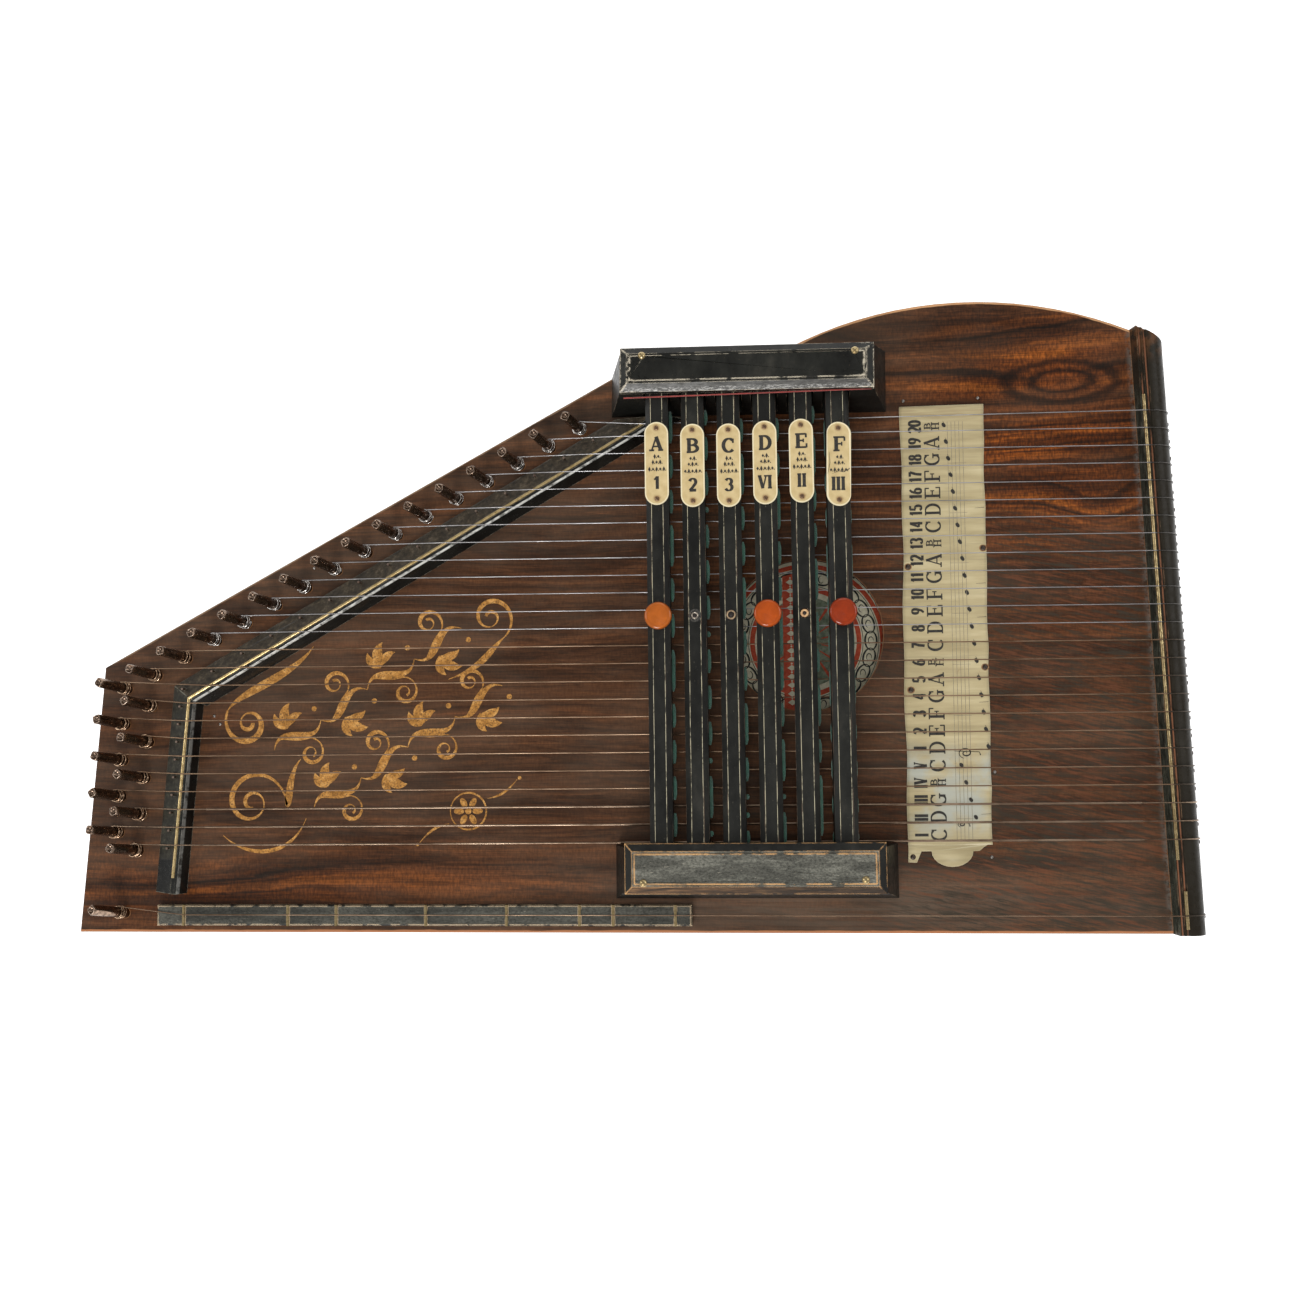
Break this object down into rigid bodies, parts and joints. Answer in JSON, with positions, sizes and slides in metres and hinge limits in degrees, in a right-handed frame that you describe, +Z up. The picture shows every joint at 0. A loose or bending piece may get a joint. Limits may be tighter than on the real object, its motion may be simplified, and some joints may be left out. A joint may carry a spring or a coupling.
{
  "type": "chorded zither",
  "caption": "Flat plucked string instrument with a wide shallow soundbox, strings over a round hole, sprung felted chord bars and a short fretted edge.",
  "frame": {"origin": "bottom centre of the instrument's overall box, at the underside of the feet", "axes": "+X along the strings towards the hitch pins, +Y away from the player towards the arched side, +Z up out of the soundboard"},
  "size_m": [0.5409, 0.2992, 0.074],
  "materials": {
    "rosewood": "satin varnished rosewood-figured veneer",
    "dark_wood": "dark-stained satin hardwood",
    "plain_wood": "bare planed softwood",
    "ebonised_wood": "worn black polish",
    "brass": "aged, dull",
    "pin_steel": "blued and oxidised",
    "string_steel": "bright drawn wire",
    "string_bronze": "tarnished drawn wire",
    "wound_wire": "close-wound, tarnished",
    "iron_nail": "dark iron",
    "card": "aged printed card",
    "printed_label": "printed paper",
    "celluloid": "yellowed celluloid",
    "orange_resin": "polished",
    "green_felt": "worn wool felt",
    "red_felt": "worn wool felt"
  },
  "bodies": {
    "soundbox": {"back_board": "dark_wood", "soundboard": "rosewood", "pin_block": "dark_wood", "hitch_block": "dark_wood", "front_rail": "dark_wood", "bout_rail": "dark_wood", "soundboard_braces": "plain_wood", "left_nut": "ebonised_wood", "diagonal_nut": "ebonised_wood", "nut_wire": "brass", "tail_moulding": "ebonised_wood", "tail_wires": "brass", "guide_nails": "iron_nail", "hitch_pins": "iron_nail", "tuning_pins_diagonal": "pin_steel", "tuning_pins_left": "pin_steel", "strings_steel": "string_steel", "strings_bronze": "string_bronze", "strings_wound": "wound_wire", "fretboard": "ebonised_wood", "frets": "brass", "note_card": "card", "card_tacks": "iron_nail", "soundhole_label": "printed_label", "upper_bar_holder": "ebonised_wood", "upper_holder_cover": "ebonised_wood", "lower_bar_holder": "ebonised_wood", "lower_holder_cover": "ebonised_wood", "cover_nails": "brass", "stop_felts": "red_felt", "feet": "ebonised_wood", "bar_springs_1": "iron_nail", "bar_springs_2": "iron_nail", "bar_springs_3": "iron_nail", "bar_springs_4": "iron_nail", "bar_springs_5": "iron_nail", "bar_springs_6": "iron_nail"},
    "bar_1": {"chord_bar_1": "ebonised_wood", "bar_felts_1": "green_felt", "chord_label_1": "celluloid", "button_1": "orange_resin"},
    "bar_2": {"chord_bar_2": "ebonised_wood", "bar_felts_2": "green_felt", "chord_label_2": "celluloid"},
    "bar_3": {"chord_bar_3": "ebonised_wood", "bar_felts_3": "green_felt", "chord_label_3": "celluloid"},
    "bar_4": {"chord_bar_4": "ebonised_wood", "bar_felts_4": "green_felt", "chord_label_4": "celluloid", "button_4": "orange_resin"},
    "bar_5": {"chord_bar_5": "ebonised_wood", "bar_felts_5": "green_felt", "chord_label_5": "celluloid"},
    "bar_6": {"chord_bar_6": "ebonised_wood", "bar_felts_6": "green_felt", "chord_label_6": "celluloid", "button_6": "orange_resin"},
    "melody_pin": {"melody_tuning_pin": "pin_steel"}
  },
  "joints": [
    {"name": "bar_1_press", "type": "slide", "parent": "soundbox", "child": "bar_1", "axis": [0, 0, -1], "range_m": [0, 0.003], "stiffness_N_per_m": 350, "springref_m": -0.004, "deforming": ["bar_springs_1"]},
    {"name": "bar_2_press", "type": "slide", "parent": "soundbox", "child": "bar_2", "axis": [0, 0, -1], "range_m": [0, 0.003], "stiffness_N_per_m": 350, "springref_m": -0.004, "deforming": ["bar_springs_2"]},
    {"name": "bar_3_press", "type": "slide", "parent": "soundbox", "child": "bar_3", "axis": [0, 0, -1], "range_m": [0, 0.003], "stiffness_N_per_m": 350, "springref_m": -0.004, "deforming": ["bar_springs_3"]},
    {"name": "bar_4_press", "type": "slide", "parent": "soundbox", "child": "bar_4", "axis": [0, 0, -1], "range_m": [0, 0.003], "stiffness_N_per_m": 350, "springref_m": -0.004, "deforming": ["bar_springs_4"]},
    {"name": "bar_5_press", "type": "slide", "parent": "soundbox", "child": "bar_5", "axis": [0, 0, -1], "range_m": [0, 0.003], "stiffness_N_per_m": 350, "springref_m": -0.004, "deforming": ["bar_springs_5"]},
    {"name": "bar_6_press", "type": "slide", "parent": "soundbox", "child": "bar_6", "axis": [0, 0, -1], "range_m": [0, 0.003], "stiffness_N_per_m": 350, "springref_m": -0.004, "deforming": ["bar_springs_6"]},
    {"name": "melody_pin_turn", "type": "hinge", "parent": "soundbox", "child": "melody_pin", "pos_m": [-0.24885, -0.13945, 0.043], "axis": [-0.3395, 0.1583, 0.9272], "range_deg": [-360, 90]}
  ]
}
